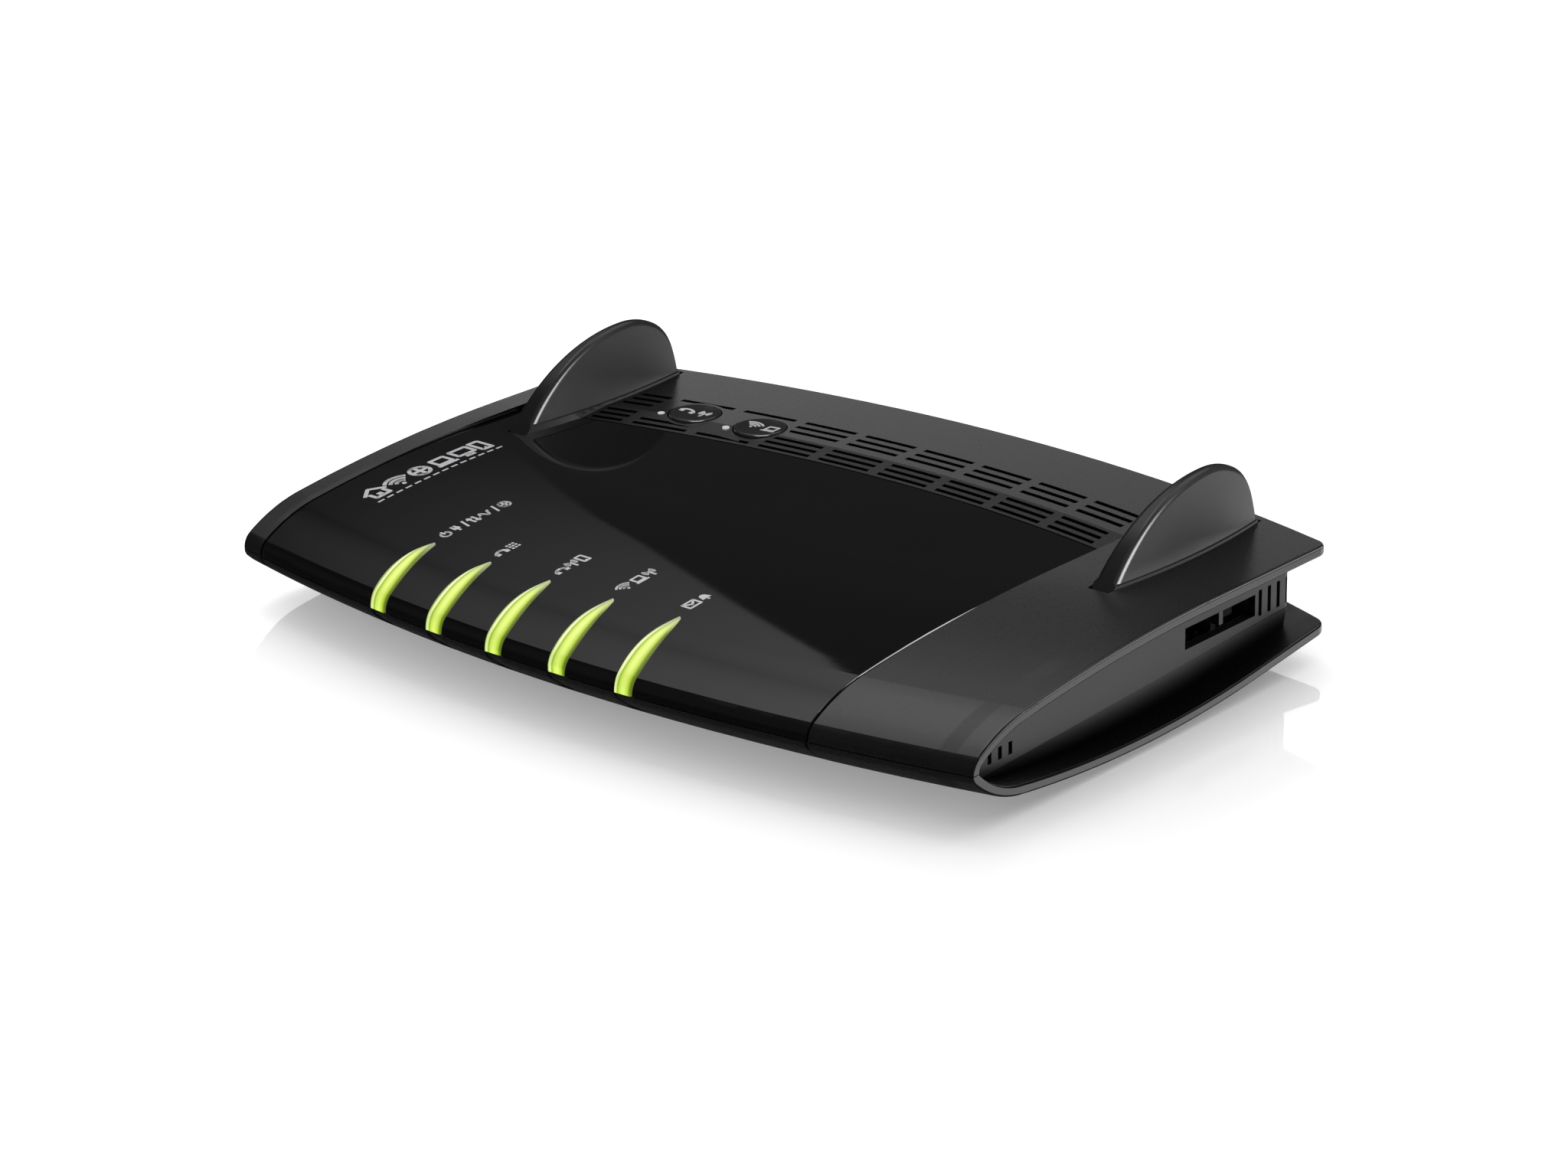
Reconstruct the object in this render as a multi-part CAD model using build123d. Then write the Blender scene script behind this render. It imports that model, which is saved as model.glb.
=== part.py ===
from build123d import *
import math
import os

# A flat desktop line terminal: two bowed skins meet in a rounded nose and stand open at the sides and
# back, with the walls set in between them. Millimetres, +Z up, +Y to the back, origin on the table
# under the middle of the box.

# ---- driving dimensions ----------------------------------------------------------------------------
WIDTH = 226.0
DEPTH = 160.0
HEIGHT = 47.0                 # to the tips of the antenna fins
FRONT_BOW = 12.3              # how far the nose comes forward of its two ends
REAR_BOW = 16.3
CORNER_R = 4.0
NOSE_Z = 14.5                 # where the two skins meet at the nose
NOSE_GAP = 0.2
SKIN = 2.4
RIM_FILLET = 0.5
TOP_ARCS = [(4.4, -58.5), (42.0, -23.5), (486.0, -8.0)]
PANEL_ARCS = [(4.4, -58.5), (42.0, -23.5), (380.0, -8.0)]
BOTTOM_ARCS = [(2.8, 46.0), (28.0, 36.0), (330.0, 15.0)]

RECESS = 6.5                  # walls stand this far inside the skins' side edges
WALL = 2.0
WALL_REAR_Y = 59.0            # outer face of the straight rear wall
BASE_TAPER = 7.0              # degrees that the base's walls lean in
SEAM_FRONT = (-50.0, 9.2)     # the walls' own parting line, as y and z at its two ends
SEAM_REAR = (59.0, 13.8)

PANEL_LEFT = -105.0
PANEL_RIGHT = 72.7
PANEL_THICK = 1.1
PANEL_BACKING = 1.5
PANEL_GROOVE = 0.5
PANEL_FILLET = 0.4
PANEL_INSET = 42.9            # panel's rear edge, from the bowed rear edge of the box

GUIDE_PITCH = 20.0
GUIDE_MIDDLE_X = -17.0
GUIDE_TIPS = [(-1.8, 21.0), (-2.2, 21.6), (-2.7, 22.2), (-3.0, 22.7), (-3.3, 23.1)]
GUIDE_PROUD = 0.35
GUIDE_GAP = 0.2
GUIDE_FILLET = 0.2
GUIDE_LEG = (-2.3, 16.6)      # leg over the LED: sideways and behind the nose
GUIDE_LEG_R = 1.0

VENT_LEFT_X = -93.9
VENT_PITCH = 18.4
VENT_LENGTH = 15.4
VENT_GROUPS = 9
VENT_UPPER = (22.5, 26.1, 29.7)     # rows on the level strip, from the bowed rear edge
VENT_LOWER = (35.3, 38.0, 40.7)     # rows on the slope
VENT_WIDTHS = (1.6, 1.3)            # of the upper and the lower rows
VENT_LEAST = 8.0                    # area; what is left of a slot beside a button is dropped below this
SLOPE_INSETS = (33.6, 43.6)   # the strip falls to the panel between these
SLOPE_DROP = 1.15
SIDE_VENTS = [(4, 46.2, 14.8, 21.2), (3, -53.9, 11.2, 14.2)]   # count, first y, lower and upper end
SIDE_VENT_PITCH = 3.6
SIDE_VENT_WIDTH = 1.3

BUTTON_R = 7.0
BUTTONS = {"cordless": (-65.8, 44.0), "wireless": (-45.4, 45.6)}
BUTTON_FIELD = [(-55.6, 43.9), (22.0, 15.2)]  # plain patch between the buttons: middle, then size
BUTTON_TOP = 29.2
BUTTON_GAP = 0.3
SOCKET_RELIEF = 0.25          # lifts a cap's underside off the sockets below it at full travel
STEM_Y = 39.5                 # the stems come down in front of the jacks
LENS_OFFSET = (-7.1, -4.8)
LENS_R = 0.9

FINS = {"left": -93.0, "right": 89.4}
FIN_PEAK_Y = 47.5
FIN_FRONT_R = 50.0
FIN_REAR_ARCS = [(22.0, -30.0), (12.5, -45.0), (32.0, -17.0)]
FIN_LEAF = [(2.7, 7.0), (4.9, 32.0), (2.4, 67.0)]
FIN_SLIM = [(29.9, 0.94), (35.0, 0.72), (40.0, 0.54), (47.0, 0.34)]   # width of the blade by height
FIN_GROOVE_Z = (29.6, 29.9)
FIN_GROOVE = 0.5
FIN_FILLET = 1.5
FIN_SEAT_Z = 27.3
FIN_TENON_Y = (16.0, 54.0)

BOARD_TOP = 13.8
BOARD_THICK = 1.6
POSTS = [(84.0, -40.0), (62.0, 32.0)]
BOARD_SCREWS = [(-38.0, -46.0), (38.0, -46.0)]
FEET = [(85.0, -26.0), (85.0, 24.0)]
FOOT_R = 6.0
KEYHOLE_X = 60.0
KEYHOLE_Y = -8.0
KEYHOLE_R = 4.0
KEYHOLE_SLOT = (4.4, 7.0)     # width, and length from the round hole to where the screw rests

JACK_FACE_Y = 58.8
JACK_HEIGHT = 11.6
PHONE_SOCKET_Y = (17.0, 44.2)
PHONE_SOCKET_Z = (15.4, 20.6)
PHONE_DIVIDER_Y = (30.0, 31.5)
SIDE_USB_Y = 30.0
USB_SIZE = (13.1, 14.0, 5.7)

# ---- worked out from them ----------------------------------------------------------------------------
HALF_W = WIDTH / 2
FRONT_Y = -DEPTH / 2
REAR_Y = DEPTH / 2
FRONT_R = (HALF_W**2 + FRONT_BOW**2) / (2 * FRONT_BOW)
REAR_R = (HALF_W**2 + REAR_BOW**2) / (2 * REAR_BOW)
FRONT_AXIS = Axis((0, FRONT_Y + FRONT_R, 0), (0, 0, 1))
REAR_CENTRE_Y = REAR_Y - REAR_R
REAR_AXIS = Axis((0, REAR_CENTRE_Y, 0), (0, 0, 1))
SWEEP = 40.0                  # degrees of bow, enough for the whole width
RUN_OUT = 175.0               # the profiles run past the rear edge and are trimmed there
WALL_X = HALF_W - RECESS
BOARD_BOTTOM = BOARD_TOP - BOARD_THICK
PANEL_DEPTH = PANEL_THICK + PANEL_BACKING

# x of the middle, width, height and depth of everything that opens through the rear wall
REAR_JACKS = {
    "dsl_jack": (-85.0, 15.4, JACK_HEIGHT, 15.8),
    "phone_jack_pair": (-60.5, 25.0, JACK_HEIGHT, 12.5),
    "isdn_jack": (-37.0, 15.4, JACK_HEIGHT, 15.8),
    "lan_jack_block": (6.0, 62.0, JACK_HEIGHT, 15.8),
    "rear_usb_shell": (50.5, USB_SIZE[0], USB_SIZE[2], USB_SIZE[1]),
    "power_jack": (70.0, 9.4, 11.2, 13.6),
}
LAN_XS = [6.0 + 15.5 * i for i in (-1.5, -0.5, 0.5, 1.5)]
PHONE_JACK_XS = [-66.8, -54.2]


# ---- small helpers ---------------------------------------------------------------------------------
def bow_y(x):
    """Y of the nose at x."""
    return FRONT_Y + FRONT_R - math.sqrt(FRONT_R**2 - x**2)


def box(x, y, z):
    """A box from three (low, high) pairs."""
    spans = [pair[1] - pair[0] for pair in (x, y, z)]
    return Pos(*[(pair[0] + pair[1]) / 2 for pair in (x, y, z)]) * Box(*spans)


def block(x, y, z, width, depth, height):
    """A box standing at z, with its plan centred on x, y."""
    return Pos(x, y, z + height / 2) * Box(width, depth, height)


def post(x, y, radius, z):
    """An upright cylinder from z[0] to z[1]."""
    return Pos(x, y, (z[0] + z[1]) / 2) * Cylinder(radius, z[1] - z[0])


def prism(sketch, z):
    """A plan sketch as an upright prism from z[0] to z[1]."""
    return extrude(Pos(0, 0, z[0]) * sketch, z[1] - z[0])


def both_sides(points):
    return [(side * x, y) for x, y in points for side in (-1, 1)]


def group(shapes):
    """Separate solids that belong to one part."""
    return Compound(children=[solid for shape in shapes for solid in shape.solids()])


# ---- the two skins ---------------------------------------------------------------------------------
def chain(arcs, heading, z, depth):
    """One profile line, depth inside the outer surface: tangent arcs, then a straight run to the back."""
    edges, start, tangent = [], (depth, z), (0, heading)
    for radius, turn in arcs:
        arc = JernArc(start=start, tangent=tangent, radius=radius - depth, arc_size=turn)
        edges.append(arc)
        start, tangent = arc @ 1, arc % 1
    reach = (RUN_OUT - start.X) / tangent.X
    edges.append(Line(start, start + tangent * reach))
    return edges


def swept(edges, origin_y, axis):
    """A closed profile in Y and Z, swept along a bow."""
    plane = Plane(origin=(0, origin_y, 0), x_dir=(0, 1, 0), z_dir=(1, 0, 0))
    face = (plane * make_face(edges)).rotate(axis, -SWEEP / 2)
    return revolve(face, axis, SWEEP)


def layer(arcs, heading, z, outer, inner):
    """What lies between two depths of a skin."""
    out, back = chain(arcs, heading, z, outer), chain(arcs, heading, z, inner)
    ends = [Line(out[0] @ 0, back[0] @ 0), Line(out[-1] @ 1, back[-1] @ 1)]
    return swept(out + back + ends, FRONT_Y, FRONT_AXIS)


def top_z():
    """Height of the level part of the cover, where its arcs end."""
    return (chain(TOP_ARCS, 1, NOSE_Z + NOSE_GAP / 2, 0)[-1] @ 0).Y


def inside(arcs, heading, z, depth, far_z):
    """Everything from one depth of a skin to far_z."""
    line = chain(arcs, heading, z, depth)
    first, last = line[0] @ 0, line[-1] @ 1
    corners = [(last.X, far_z), (first.X, far_z)]
    ends = [Line(last, corners[0]), Line(*corners), Line(corners[1], first)]
    return swept(line + ends, FRONT_Y, FRONT_AXIS)


def top_layer(outer, inner, arcs=TOP_ARCS):
    return layer(arcs, 1, NOSE_Z + NOSE_GAP / 2, outer, inner)


def bottom_layer(outer, inner):
    return layer(BOTTOM_ARCS, -1, NOSE_Z - NOSE_GAP / 2, outer, inner)


def under_top(depth, arcs=TOP_ARCS):
    return inside(arcs, 1, NOSE_Z, depth, -10)


def over_bottom(depth):
    return inside(BOTTOM_ARCS, -1, NOSE_Z, depth, 60)


def outline():
    """The box in plan with its bowed rear edge; the nose is left to the skins' own profile."""
    corner_y = REAR_CENTRE_Y + math.sqrt(REAR_R**2 - HALF_W**2)
    front = FRONT_Y - 10
    corners = [(-HALF_W, corner_y), (-HALF_W, front), (HALF_W, front), (HALF_W, corner_y)]
    area = make_face([Polyline(*corners), ThreePointArc(corners[3], (0, REAR_Y), corners[0])])
    return prism(fillet(area.vertices().sort_by(Axis.Y)[-2:], CORNER_R), (-10, 60))


def wall_block(inset, front, top, height, taper):
    """The space inside the walls, less an inset, leaning in as it goes down."""
    depth = WALL_REAR_Y - inset - front
    area = Pos(0, front + depth / 2) * Rectangle(2 * (WALL_X - inset), depth)
    area = fillet(area.vertices().sort_by(Axis.Y)[-2:], 3.0 - inset)
    return extrude(Pos(0, 0, top) * area, height, dir=(0, 0, -1), taper=taper)


def walls(top, height, taper=0.0):
    """The two side walls and the straight rear wall."""
    outer = wall_block(0, FRONT_Y - 10, top, height, taper)
    return outer - wall_block(WALL, FRONT_Y - 30, top, height, taper)


def past_seam(side):
    """The space above (+1) or below (-1) the walls' parting line."""
    slope = (SEAM_REAR[1] - SEAM_FRONT[1]) / (SEAM_REAR[0] - SEAM_FRONT[0])
    ends = [(y, SEAM_FRONT[1] + slope * (y - SEAM_FRONT[0]) + side * 0.1) for y in (-100.0, 100.0)]
    far = 20 + side * 45
    area = make_face(Polyline(ends[0], ends[1], (100, far), (-100, far), close=True))
    return extrude(Plane.YZ * area, 200, both=True)


# ---- outlines shared by several parts ----------------------------------------------------------------
def rear_band(near, far):
    """A bowed band in plan, between two distances from the rear edge."""
    return Pos(0, REAR_CENTRE_Y) * (Circle(REAR_R - near) - Circle(REAR_R - far))


def panel_plan(margin):
    """The gloss panel in plan, grown by margin."""
    strip = Pos((PANEL_LEFT + PANEL_RIGHT) / 2, 0) * Rectangle(PANEL_RIGHT - PANEL_LEFT + 2 * margin, 200)
    return strip & Pos(0, REAR_CENTRE_Y) * Circle(REAR_R - PANEL_INSET + margin)


def guide_xs():
    return [GUIDE_MIDDLE_X + GUIDE_PITCH * i for i in (-2, -1, 0, 1, 2)]


def guide_plan(x, margin=0.0):
    """One claw-shaped light guide in plan, grown by margin; the claws lengthen from left to right."""
    lean, length = GUIDE_TIPS[guide_xs().index(x)]
    left = ThreePointArc((x - 1.2, -3.0), (x - 4.4, 11.5), (x + lean - 0.25, length))
    right = ThreePointArc((x + lean + 0.25, length), (x + 0.6, 11.0), (x + 2.9, -3.0))
    claw = make_face([left, Line(left @ 1, right @ 0), right, Line(right @ 1, left @ 0)])
    if margin:
        claw = offset(claw, margin, kind=Kind.INTERSECTION)
    return Pos(0, bow_y(x)) * claw


def guide_leg(x):
    """Plan position of the leg of the guide at x."""
    return x + GUIDE_LEG[0], bow_y(x) + GUIDE_LEG[1]


def vent_plan():
    """All slots of the cover's rear strip: bowed rows in groups, clear of the buttons and the fin."""
    rows = Sketch()
    for insets, width in zip((VENT_UPPER, VENT_LOWER), VENT_WIDTHS):
        for inset in insets:
            rows += rear_band(inset - width / 2, inset + width / 2)
    columns = Sketch()
    for i in range(VENT_GROUPS):
        columns += Pos(VENT_LEFT_X + VENT_PITCH * i + VENT_LENGTH / 2, 0) * Rectangle(VENT_LENGTH, DEPTH)
    slots = rows & columns
    slots -= Pos(*BUTTON_FIELD[0]) * Rectangle(*BUTTON_FIELD[1])
    for x, y in BUTTONS.values():
        slots -= Pos(x, y) * Circle(BUTTON_R + 1.0)
        slots -= Pos(x + LENS_OFFSET[0], y + LENS_OFFSET[1]) * Circle(LENS_R + 1.3)
    slots -= Pos(FINS["left"], 0) * Rectangle(12, DEPTH)
    return Sketch() + [slot for slot in slots.faces() if slot.area > VENT_LEAST]


def fin_outline(margin=0.0):
    """Side view of a fin in Y and Z, down to its seat."""
    peak = (FIN_PEAK_Y, HEIGHT)
    drop = math.degrees(math.acos(1 - (HEIGHT - FIN_SEAT_Z) / FIN_FRONT_R))
    front = JernArc(start=peak, tangent=(-1, 0), radius=FIN_FRONT_R, arc_size=drop)
    edges, start, tangent = [front], peak, (1, 0)
    for radius, turn in FIN_REAR_ARCS:
        arc = JernArc(start=start, tangent=tangent, radius=radius, arc_size=turn)
        edges.append(arc)
        start, tangent = arc @ 1, arc % 1
    face = make_face(edges + [Line(start, front @ 1)])
    seat = Pos(40, FIN_SEAT_Z + 20) * Rectangle(100, 40)
    return (offset(face, margin) if margin else face) & seat


def fin_plan(margin=0.0, slim=1.0):
    """Leaf-shaped plan of a fin, blunt at the front; slim scales its width, margin grows it."""
    front, middle, rear = ((x * slim, y) for x, y in FIN_LEAF)
    right = ThreePointArc(front, middle, rear)
    left = ThreePointArc((-rear[0], rear[1]), (-middle[0], middle[1]), (-front[0], front[1]))
    leaf = make_face([right, Line(right @ 1, left @ 0), left, Line(left @ 1, right @ 0)])
    return offset(leaf, margin, kind=Kind.INTERSECTION) if margin else leaf


# ---- casing ------------------------------------------------------------------------------------------
def slope_cut():
    """Takes the rear strip down to the panel's level, across the panel's width."""
    near, far = (REAR_R - inset for inset in SLOPE_INSETS)
    top = top_z()
    corners = [(near, top), (far, top - SLOPE_DROP), (far, top + 4), (near, top + 4)]
    ring = swept(Polyline(*corners, close=True), REAR_CENTRE_Y, REAR_AXIS)
    return ring & box((PANEL_LEFT - PANEL_GROOVE, PANEL_RIGHT + PANEL_GROOVE), (-90, 90), (20, 40))


def side_vents():
    """Upright slots near both ends of each side wall."""
    slots = []
    for count, first, low, high in SIDE_VENTS:
        for i in range(count):
            y = first + SIDE_VENT_PITCH * i
            slots.append(box((-110, 110), (y - SIDE_VENT_WIDTH / 2, y + SIDE_VENT_WIDTH / 2), (low, high)))
    return slots


def cover_walls():
    """The cover's own walls with everything that opens through them."""
    ring = walls(30, 32) & under_top(SKIN / 2) & over_bottom(SKIN + 0.2) & past_seam(1)
    for x, width, height, _ in REAR_JACKS.values():
        ring -= box((x - width / 2 - 0.2, x + width / 2 + 0.2), (50, 70), (5, BOARD_TOP + height + 0.2))
    ring -= box((100, 110), PHONE_SOCKET_Y, PHONE_SOCKET_Z) - box((100, 110), PHONE_DIVIDER_Y, (17.4, 30))
    ring -= box((-110, -100), (SIDE_USB_Y - 6.8, SIDE_USB_Y + 6.8), (BOARD_TOP, BOARD_TOP + 5.9))
    for slot in side_vents():
        ring -= slot
    return ring


def rim_edges(skin):
    """The skin's edges along the sides and the rear, short of the nose."""
    rim = []
    for edge in skin.edges():
        low, high = edge.bounding_box().min, edge.bounding_box().max
        upright = high.Z - low.Z > 1.5 and high.Y - low.Y < 0.5
        at_side = high.X < -110 or low.X > 110
        if (at_side or high.Y > 60.5) and high.Y > -64.2 and not upright:
            rim.append(edge)
    return rim


def fin_seat(x):
    """The shallow seat and the hole that take the foot and tenon of the fin at x."""
    seat = Pos(x, 0) * prism(fin_plan(0.15), (FIN_SEAT_Z, 40))
    y = (FIN_TENON_Y[0] - 0.1, FIN_TENON_Y[1] + 0.1)
    return seat + box((x - 2.5, x + 2.5), y, (20, 40))


def top_cover():
    skin = top_layer(0, SKIN) & outline()
    cover = fillet(rim_edges(skin), RIM_FILLET) + cover_walls()
    for x, y in both_sides(POSTS):
        cover += post(x, y, 3.5, (BOARD_TOP, 40)) & under_top(SKIN / 2)
    cover -= top_layer(-4, PANEL_THICK + 0.05, PANEL_ARCS) & prism(panel_plan(PANEL_GROOVE), (0, 60))
    backing = top_layer(PANEL_THICK + 0.05, PANEL_DEPTH, PANEL_ARCS) & prism(panel_plan(3.0), (0, 60))
    cover += backing & outline() & under_top(0.4)
    cover -= slope_cut()
    cover -= prism(vent_plan(), (25.7, 40))
    for x in guide_xs():
        cover -= prism(guide_plan(x, GUIDE_GAP), (10, 40))
    for x, y in both_sides(POSTS):
        cover -= post(x, y, 1.25, (BOARD_TOP - 1, BOARD_TOP + 7.5))
    for x, y in BUTTONS.values():
        cover -= post(x, y, BUTTON_R, (22, 40))
        cover -= post(x + LENS_OFFSET[0], y + LENS_OFFSET[1], LENS_R + 0.05, (22, 40))
    for x in FINS.values():
        cover -= fin_seat(x)
    return cover


def base_shell():
    skin = bottom_layer(0, SKIN) & outline()
    ring = walls(14, 14, BASE_TAPER) & over_bottom(SKIN / 2) & under_top(SKIN + 0.2) & past_seam(-1)
    base = fillet(rim_edges(skin), RIM_FILLET) + ring
    for x, y in both_sides(FEET):
        base += post(x, y, FOOT_R + 1.2, (0.8, 4.4))
        base -= post(x, y, FOOT_R + 0.1, (-1, 2.4))
    for x, y in both_sides(POSTS):
        base += post(x, y, 4.8, (2, BOARD_BOTTOM)) & over_bottom(SKIN / 2)
        base -= post(x, y, 3.2, (-1, 9.0))
        base -= post(x, y, 1.6, (-1, 20))
    for x, y in BOARD_SCREWS:
        base += post(x, y, 3.2, (2, BOARD_BOTTOM)) & over_bottom(SKIN / 2)
        base -= post(x, y, 1.05, (5.5, 20))
    for side in (-1, 1):
        base += block(side * KEYHOLE_X, KEYHOLE_Y - 2, 1.6, 16, 22, 2.8)
        base -= keyhole(side * KEYHOLE_X)
    for i in range(-8, 9):
        base -= block(5.0 * i, -12, -5, 1.8, 34, 12)
    for x in (PANEL_LEFT, PANEL_RIGHT):
        base -= bottom_layer(-2, 0.5) & box((x - 0.3, x + 0.3), (-90, -40), (-10, 20))
    for x in guide_xs():
        base -= bottom_layer(-2, 0.4) & box((x - 2.6, x + 2.6), (-90, bow_y(x) + 6), (7.5, 20))
    return base


def keyhole(x):
    """A hanging hole: round for the screw's head, then a slot towards the nose."""
    width, length = KEYHOLE_SLOT
    slot = block(x, KEYHOLE_Y - length / 2, -2, width, length, 12)
    return post(x, KEYHOLE_Y, KEYHOLE_R, (-2, 10)) + slot + post(x, KEYHOLE_Y - length, width / 2, (-2, 10))


def panel_side_edges(panel):
    """The upper edges along the panel's two straight sides, short of the nose."""
    sides = []
    for edge in panel.edges():
        low, high = edge.bounding_box().min, edge.bounding_box().max
        if high.X - low.X < 0.01 and high.Y - low.Y > 20 and high.Z > 27.5:
            sides.append(edge)
    return sides


def gloss_panel():
    panel = top_layer(0, PANEL_THICK, PANEL_ARCS) & prism(panel_plan(0), (0, 60))
    panel = fillet(panel_side_edges(panel), PANEL_FILLET)
    for x in guide_xs():
        panel -= prism(guide_plan(x, GUIDE_GAP), (10, 40))
    return panel - fin_seat(FINS["left"])


def guide_rims(claw):
    """The two long edges of a claw's outer face."""
    outer = [face for face in claw.faces() if face.normal_at().Z > 0.15]
    rims = []
    for edge in claw.edges():
        long_way = abs((edge @ 1).Y - (edge @ 0).Y) > 2.5
        if long_way and any(face.distance_to(edge @ 0.5) < 0.0001 for face in outer):
            rims.append(edge)
    return rims


def light_guide(x):
    """A clear claw let into the panel, with a leg down to its LED."""
    claw = top_layer(-GUIDE_PROUD, PANEL_DEPTH, PANEL_ARCS) & prism(guide_plan(x), (0, 60))
    claw &= box((-90, 90), (FRONT_Y, 0), (0, 40))
    claw = fillet(guide_rims(claw), GUIDE_FILLET)
    leg = post(*guide_leg(x), GUIDE_LEG_R, (BOARD_TOP + 1.3, 30)) & under_top(PANEL_THICK, PANEL_ARCS)
    return claw + leg


def led_light_shield():
    """The black bar on the board that keeps each guide's light to itself."""
    bar = box((-67, 27), (-65.4, -56.0), (BOARD_TOP, 30)) & under_top(PANEL_DEPTH + 0.4, PANEL_ARCS)
    for x in guide_xs():
        bar -= post(*guide_leg(x), GUIDE_LEG_R + 0.6, (0, 40))
    return bar


# ---- buttons -----------------------------------------------------------------------------------------
def button(name):
    """A dished cap with a catch under the cover and a stem down to its switch."""
    x, y = BUTTONS[name]
    cap = post(x, y, BUTTON_R - BUTTON_GAP, (26.0, BUTTON_TOP))
    cap = fillet(cap.edges().group_by(Axis.Z)[-1], 0.6)
    dish_r, dish = 50.0, 0.35
    cap -= Pos(x, y, BUTTON_TOP - dish + dish_r) * Sphere(dish_r)
    cap -= box((x - 8, x + 8), (y - 2.9, y + 8), (25, 26.0 + SOCKET_RELIEF))
    catch = post(x, y, 7.6, (25.5, 26.0)) & box((x - 5, x + 5), (y - 8, y - 3.2), (20, 30))
    stem = block(x, STEM_Y, 19.0, 3.0, 2.0, 7.3)
    return cap + catch + stem


def switch_plunger(name):
    return post(BUTTONS[name][0], STEM_Y, 1.7, (17.0, 19.0))


def switch_bodies():
    """Push switches on the board, each with a well for its plunger."""
    bodies = []
    for x, _ in BUTTONS.values():
        bodies.append(block(x, STEM_Y, BOARD_TOP, 6.0, 6.0, 4.0) - post(x, STEM_Y, 2.0, (16.0, 20)))
    return group(bodies)


def button_lenses():
    """Thin light pipes from the board to the dots beside the buttons."""
    places = [(x + LENS_OFFSET[0], y + LENS_OFFSET[1]) for x, y in BUTTONS.values()]
    return group([post(x, y, LENS_R, (BOARD_TOP + 1.2, top_z() + 0.1)) for x, y in places])


def status_leds():
    """Small LEDs on the board under every guide and pipe."""
    places = [guide_leg(x) for x in guide_xs()]
    places += [(x + LENS_OFFSET[0], y + LENS_OFFSET[1]) for x, y in BUTTONS.values()]
    return group([block(x, y, BOARD_TOP, 1.6, 0.9, 0.9) for x, y in places])


# ---- antennas ----------------------------------------------------------------------------------------
def fin_antenna(name):
    """A hollow fin: a blade that slims upwards, over a groove and a lip, with a tenon through the cover."""
    sections = [Pos(0, 0, z) * fin_plan(slim=slim) for z, slim in FIN_SLIM]
    silhouette = extrude(Plane.YZ * fin_outline(), 8, both=True)
    blade = loft(sections) & silhouette
    along = [edge for edge in blade.edges() if edge.center().Z > FIN_GROOVE_Z[1] + 0.1 and edge.length > 4]
    blade = fillet([edge for edge in along if abs(edge.center().X) > 0.1], FIN_FILLET)
    lip = prism(fin_plan(), (FIN_SEAT_Z, FIN_GROOVE_Z[0])) & silhouette
    neck = prism(fin_plan(-FIN_GROOVE), (FIN_GROOVE_Z[0] - 0.2, FIN_GROOVE_Z[1] + 0.2)) & silhouette
    body = blade + neck + lip + box((-2.4, 2.4), FIN_TENON_Y, (25.7, FIN_SEAT_Z + 0.5))
    body -= extrude(Plane.YZ * fin_outline(-1.8), 0.6, both=True)
    body -= box((-1.5, 1.5), (FIN_TENON_Y[0] + 1, FIN_TENON_Y[1] - 1), (20, FIN_SEAT_Z + 1.9))
    return Pos(FINS[name], 0) * body


def antenna_board(name):
    """The thin aerial board inside a fin, with its foot down in the tenon."""
    blade = extrude(Plane.YZ * fin_outline(-2.3), 0.35, both=True)
    foot = box((-0.35, 0.35), (18, 30), (26.2, FIN_SEAT_Z + 4))
    return Pos(FINS[name], 0) * (blade + foot)


def antenna_lead(name):
    """A coaxial lead from the aerial's foot to its plug on the board."""
    top = FINS[name] - math.copysign(0.85, FINS[name])
    down = math.copysign(84.0, FINS[name])
    path = FilletPolyline(
        (top, 22.0, 27.8),
        (top, 22.0, 24.2),
        (down, 22.0, 24.2),
        (down, 22.0, 15.6),
        (down, -16.4, 15.6),
        radius=2.0,
    )
    return sweep(Plane(origin=path @ 0, z_dir=path % 0) * Circle(0.5), path)


def coax_plugs():
    return group([post(x, -18.0, 1.6, (BOARD_TOP, BOARD_TOP + 2.4)) for x in (-84.0, 84.0)])


# ---- main board and what stands on it ----------------------------------------------------------------
def main_board():
    board = box((-100, 100), (-58, 55.6), (BOARD_BOTTOM, BOARD_TOP))
    board += box((-76, 44), (-66, -57), (BOARD_BOTTOM, BOARD_TOP))
    for x, y in both_sides(POSTS):
        board -= post(x, y, 1.8, (0, 20))
    for x, y in BOARD_SCREWS:
        board -= post(x, y, 1.35, (0, 20))
    return board


def modular_port(x, width, pins):
    """The hollow of one modular socket, with its latch step below and its contacts above."""
    hollow = box((x - width / 2, x + width / 2), (46.8, 60), (17.4, 24.2))
    hollow += box((x - 3.1, x + 3.1), (46.8, 60), (16.1, 18))
    hollow += box((x - 2.0, x + 2.0), (46.8, 60), (15.0, 17))
    first = x - 1.02 * (pins - 1) / 2
    wires = [block(first + 1.02 * i, 52.5, 23.85, 0.4, 8.0, 0.35) for i in range(pins)]
    return hollow, wires


def rear_jack(name, ports=()):
    """A jack's body against the rear wall, less the given hollows."""
    x, width, height, depth = REAR_JACKS[name]
    body = block(x, JACK_FACE_Y - depth / 2, BOARD_TOP, width, depth, height)
    for hollow in ports:
        body -= hollow
    return body


def usb_shell(length):
    """A folded metal shell, open in front, lying along +Y with its mouth at y = 0."""
    width, _, height = USB_SIZE
    shell = block(0, -length / 2, 0, width, length, height)
    return shell - block(0, -length / 2 + 0.4, 0.35, width - 0.7, length, height - 0.7)


def usb_tongue():
    return block(0, -7.6, 2.9, 10.8, 12.0, 1.7)


def side_usb(shape):
    """Turns a rear-facing USB shape to the left side wall."""
    return Pos(-WALL_X + 0.2, SIDE_USB_Y, BOARD_TOP) * (Rot(0, 0, 90) * shape)


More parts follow.
